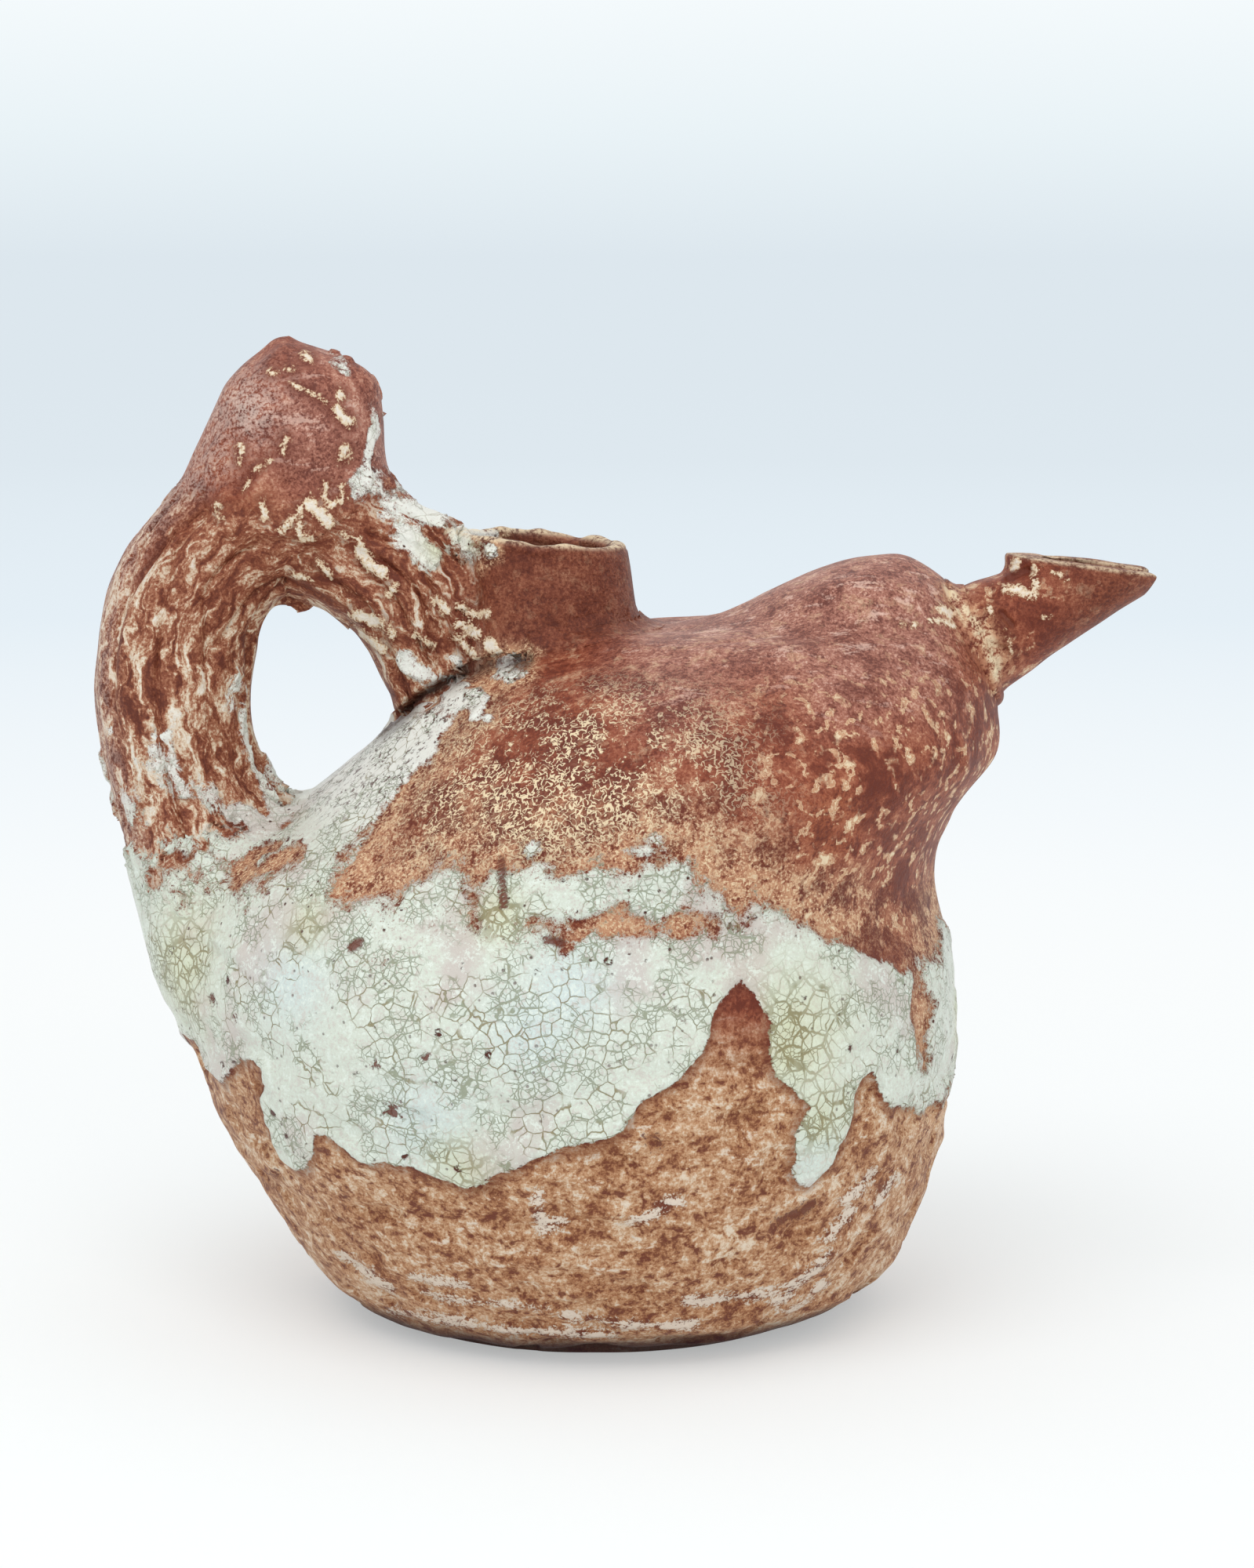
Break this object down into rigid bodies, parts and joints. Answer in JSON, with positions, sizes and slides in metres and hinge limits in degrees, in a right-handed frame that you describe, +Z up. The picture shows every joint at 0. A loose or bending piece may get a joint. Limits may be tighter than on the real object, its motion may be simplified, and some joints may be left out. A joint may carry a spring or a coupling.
{
  "type": "animal-shaped teapot",
  "caption": "Hand-built glazed stoneware teapot like a plump bird, with a round belly, a cut spout for a beak, an open mouth on its back and an arched tail handle.",
  "frame": {"origin": "centre of the foot's underside, on the table", "axes": "+Z up, +X towards the spout, so the handle is at -X and the pictured side faces -Y"},
  "size_m": [0.1914, 0.1312, 0.1752],
  "materials": {
    "rust_glaze": "glossy red-brown glaze with cream flecks",
    "plum_glaze": "glossy dark plum-brown glaze",
    "celadon_glaze": "glossy crackled grey-green glaze",
    "cream_glaze": "thin cream glaze over clay",
    "bare_clay": "thinly glazed fired clay"
  },
  "bodies": {
    "root": {"foot_slab": "bare_clay", "lower_bowl": "celadon_glaze", "upper_dome": "rust_glaze", "head_cap": "plum_glaze", "neck_collar": "rust_glaze", "collar_luting_coil": "rust_glaze", "spout": "rust_glaze", "spout_luting_coil": "cream_glaze", "handle_front_limb": "rust_glaze", "handle_crest": "plum_glaze", "handle_back_limb": "rust_glaze", "handle_root_pad": "celadon_glaze"}
  },
  "joints": []
}
